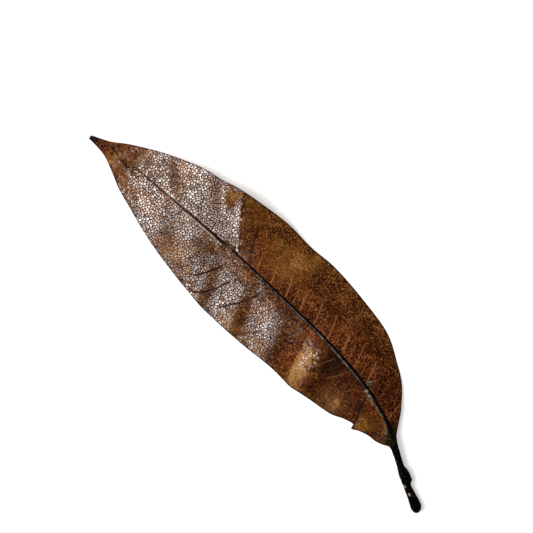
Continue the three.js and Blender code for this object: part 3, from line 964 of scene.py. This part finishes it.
def skin_textures(n):
    """The textures of the skin: its small cells with their border lines, and patches, specks and grain."""
    place = n.place()
    bend = n.add("ShaderNodeTexNoise", {"Vector": place, "Scale": BEND_SCALE, "Detail": 2.0}).outputs["Color"]
    shift = n.vector("SCALE", n.vector("SUBTRACT", bend, MIDDLE), CELL_BEND)
    bent = n.vector("ADD", place, shift)
    cells = {"Vector": bent, "Scale": AREOLE_SCALE}
    border = n.add("ShaderNodeTexVoronoi", cells, voronoi_dimensions="2D", feature="DISTANCE_TO_EDGE")
    cell = n.add("ShaderNodeTexVoronoi", cells, voronoi_dimensions="2D", feature="F1")
    chance = n.vector("SUBTRACT", cell.outputs["Color"], MIDDLE)
    offset = n.vector("SUBTRACT", n.vector("SCALE", bent, AREOLE_SCALE), cell.outputs["Position"])
    return SimpleNamespace(
        place=place,
        lines=n.ramp(border.outputs["Distance"], [(0.0, 1.0), (LINE_WIDTH, 0.0)]),
        shade=n.add("ShaderNodeSeparateColor", {"Color": cell.outputs["Color"]}).outputs["Red"],
        slant=n.vector("DOT_PRODUCT", offset, chance),
        grain=n.noise(place, GRAIN_SCALE, 3),
        patch=n.noise(place, PATCH_SCALE, 5, 0.6),
        speck=n.noise(place, SPECK_SCALE, 3, 0.6),
    )


def crusted(n, colour, speck):
    """The colour with the pale green crusts laid over it."""
    return n.mix(n.mask("crust"), colour, n.ramp(speck, CRUST_TONES))


def skin_colour(n, skin):
    """Colour of the skin: tone with painted light on the left fold, mottling with darker net lines where the
    skin shines, painted shade in the sunken veins, reddish stains and grit.
    """
    line_tone = n.minus(0.5, n.times(n.mask("glary"), 1.15))
    net_tone = n.times(n.minus(skin.lines, 0.25), line_tone)
    mottled = n.plus(n.times(n.minus(skin.speck, 0.5), SPECK_CONTRAST), net_tone)
    mottled = n.times(mottled, n.plus(n.times(n.mask("mottle"), 0.7), 0.4))
    tone = n.plus(n.mask("tone"), n.times(n.minus(skin.patch, 0.5), PATCH_CONTRAST))
    # Painted shade in the sunken side veins of the tip half
    tone = n.minus(n.plus(tone, mottled), n.times(n.mask("vein_groove_shade"), 0.16))
    colour = n.ramp(tone, LEAF_TONES)
    stain = n.ramp(n.noise(skin.place, STAIN_SCALE), [(0.42, 0.0), (0.6, 1.0)])
    colour = n.mix(n.times(stain, STAIN_SHARE), colour, STAIN_TINT, "MULTIPLY")
    colour = n.mix(n.mask("ruddy"), colour, RUDDY_TINT, "MULTIPLY")
    grit = n.ramp(n.noise(skin.place, GRIT_SCALE, 2), [(0.5, 0.0), (0.68, GRIT_SHARE)])
    return n.mix(n.times(grit, n.mask("mottle")), colour, GRIT_COLOUR)


def marked(n, colour, skin):
    """The skin's colour with veins, creases, edge, the midrib with painted shade and a painted highlight
    along its top, crusts, dots, tip and a painted highlight beside the midrib laid over it.
    """
    colour = n.mix(n.times(n.mask("pale_vein"), 0.9), colour, VEIN_COLOUR)
    colour = n.mix(n.mask("creased"), colour, CREASE_COLOUR)
    colour = n.mix(n.times(n.mask("edge_mask"), 0.85), colour, EDGE_COLOUR)
    # The midrib's dark colour with painted shade, then a painted highlight along its top
    colour = n.mix(n.mask("rib_mask"), colour, RIB_AND_SHADE_COLOUR)
    colour = n.mix(n.mask("crown_highlight"), colour, n.ramp(n.noise(skin.place, FLAKE_SCALE, 4, 0.7), CROWN_HIGHLIGHT_TONES))
    colour = n.mix(n.times(n.mask("stalk_mask"), 2.0, True), colour, n.ramp(skin.speck, BASE_TONES))
    colour = crusted(n, colour, skin.speck)
    colour = n.mix(n.mask("dots"), colour, DOT_COLOUR)
    colour = n.mix(n.mask("tip_mask"), colour, n.ramp(skin.speck, TIP_TONES))
    # A painted highlight beside the midrib
    return n.mix(n.mask("rib_side_highlight"), colour, RIB_SIDE_HIGHLIGHT_COLOUR)


def skin_roughness(n, skin):
    """Dull skin, duller where it is matt, scratched or crusted."""
    rough = n.plus(n.times(n.mask("matt"), 0.4), SKIN_ROUGHNESS)
    dark = n.plus(n.mask("rib_mask"), n.mask("stalk_mask"), True)
    rough = n.times(rough, n.minus(1.1, dark))
    rough = n.plus(rough, n.times(n.mask("rib_mask"), 0.35))
    rough = n.plus(rough, n.times(n.mask("crust"), 0.6))
    scratched = n.plus(n.times(skin.lines, 0.4), n.times(n.mask("creased"), 0.6))
    return n.plus(rough, n.times(scratched, n.mask("glary")), True)


def wax_weight(n, skin):
    """Wax that differs from cell to cell and is missing on the lines, the creases and the midrib."""
    waxed = n.times(n.mask("wax"), n.plus(n.times(skin.shade, WAX_RANGE), LEAST_WAX))
    waxed = n.times(waxed, n.minus(1.0, skin.lines))
    return n.times(waxed, n.minus(1.0, n.plus(n.mask("creased"), n.mask("rib_mask"), True)))


def skin_height(n, skin):
    """Slanted cells, sunken lines, grain and specks, as rugged as the mask says."""
    height = n.minus(n.times(skin.grain, GRAIN_HEIGHT), n.times(skin.lines, LINE_DEPTH))
    height = n.plus(height, n.times(skin.speck, SPECK_HEIGHT))
    height = n.plus(height, n.times(skin.slant, SLANT_HEIGHT))
    return n.times(height, n.mask("rugged"))


def leaf_material():
    n = Nodes("leaf_skin")
    skin = skin_textures(n)
    normal = n.bump(skin_height(n, skin), SKIN_BUMP)
    n.set(Base_Color=marked(n, skin_colour(n, skin), skin), Normal=normal)
    n.set(Roughness=skin_roughness(n, skin), Specular_IOR_Level=SKIN_SPECULAR)
    n.set(Coat_Weight=wax_weight(n, skin), Coat_Roughness=WAX_ROUGHNESS, Coat_IOR=WAX_IOR, Coat_Normal=normal)
    return n.material


def bark_material():
    n = Nodes("stalk_bark")
    flakes = n.noise(n.place(), FLAKE_SCALE, 5, 0.7)
    peeled = n.mix(flakes, PEELED_DARK, PEELED_PALE)
    colour = n.mix(n.mask("peeled"), n.ramp(flakes, BARK_TONES), peeled)
    colour = n.mix(n.mask("mossy"), colour, n.ramp(flakes, MOSS_TONES))
    # The midrib's dark colour with painted shade, then a painted highlight along its top
    colour = n.mix(n.mask("rib_mask"), colour, BARK_RIB_AND_SHADE_COLOUR)
    colour = n.mix(n.mask("crown_highlight"), colour, n.ramp(flakes, BARK_CROWN_HIGHLIGHT_TONES))
    n.set(Base_Color=crusted(n, colour, flakes), Normal=n.bump(flakes, BARK_BUMP))
    n.set(Roughness=n.plus(n.times(flakes, 0.3), BARK_ROUGHNESS), Specular_IOR_Level=BARK_SPECULAR)
    return n.material


# The photograph's white surface is overexposed, so the floor glows a little, which thins the shadows
FLOOR_HALF = 3.0
FLOOR_TONES = [(0.3, (0.86, 0.86, 0.85)), (0.7, (0.89, 0.89, 0.885))]
FLOOR_ROUGHNESS = 0.9
FLOOR_SPECULAR = 0.1
GLOW_COLOUR = (1.0, 0.995, 0.985, 1)
FLOOR_GLOW = 0.55


def floor_material():
    n = Nodes("pale_floor")
    n.set(Base_Color=n.ramp(n.noise(n.place(), FLOOR_SCALE, 3), FLOOR_TONES))
    n.set(Roughness=FLOOR_ROUGHNESS, Specular_IOR_Level=FLOOR_SPECULAR)
    n.set(Emission_Color=GLOW_COLOUR, Emission_Strength=FLOOR_GLOW)
    return n.material


def add_object(name, data):
    piece = bpy.data.objects.new(name, data)
    bpy.context.scene.collection.objects.link(piece)
    return piece


def build_floor():
    mesh = bpy.data.meshes.new("floor")
    corners = [(-1, -1, 0), (1, -1, 0), (1, 1, 0), (-1, 1, 0)]
    mesh.from_pydata([(x * FLOOR_HALF, y * FLOOR_HALF, z) for x, y, z in corners], [], [(0, 1, 2, 3)])
    mesh.materials.append(floor_material())
    return add_object("floor", mesh)


leaf_mesh, leaf_middle = build_leaf()
leaf_mesh.materials.append(leaf_material())
leaf_mesh.materials.append(bark_material())
leaf = add_object("dried_leaf", leaf_mesh)
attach(leaf, "root")
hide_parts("leaf")

floor = build_floor()

# Camera: straight above a place in the leaf's plan, its height in metres and its lens in millimetres
VIEW_CENTRE = (94.4, -14.7)
VIEW_TURN = 225.16
VIEW_HEIGHT = 0.45
LENS = 68.6
SENSOR = 36.0
# Key light: tilt from overhead and heading in degrees, distance and size in metres, power in watts
KEY_TILT = 33
KEY_HEADING = 45.2
KEY_DISTANCE = 1.0
KEY_SIZE = 0.6
KEY_POWER = 9.5
KEY_COLOUR = (1.0, 0.985, 0.965)
# Faint light from all round
SKY_COLOUR = (0.97, 0.98, 1.0, 1)
SKY_STRENGTH = 0.03


def add_camera():
    camera = add_object("camera", bpy.data.cameras.new("camera"))
    camera.data.lens = LENS
    camera.data.sensor_width = SENSOR
    x, y = VIEW_CENTRE
    centre = Vector((x - leaf_middle[0], y - leaf_middle[1], 0)) * MM
    camera.location = centre + Vector((0, 0, VIEW_HEIGHT))
    camera.rotation_euler = (0, 0, math.radians(VIEW_TURN))
    bpy.context.scene.camera = camera


def add_key_light():
    lamp = add_object("key", bpy.data.lights.new("key", "AREA"))
    tilt, heading = math.radians(KEY_TILT), math.radians(KEY_HEADING)
    toward = Vector((math.sin(tilt) * math.cos(heading), math.sin(tilt) * math.sin(heading), math.cos(tilt)))
    lamp.location = toward * KEY_DISTANCE
    lamp.rotation_euler = toward.to_track_quat("Z", "Y").to_euler()
    lamp.data.shape = "DISK"
    lamp.data.size = KEY_SIZE
    lamp.data.energy = KEY_POWER
    lamp.data.color = KEY_COLOUR


def add_sky():
    world = bpy.data.worlds.new("studio")
    world.use_nodes = True
    background = world.node_tree.nodes["Background"]
    background.inputs["Color"].default_value = SKY_COLOUR
    background.inputs["Strength"].default_value = SKY_STRENGTH
    bpy.context.scene.world = world


add_camera()
add_key_light()
add_sky()
bpy.context.scene.view_settings.view_transform = "Standard"
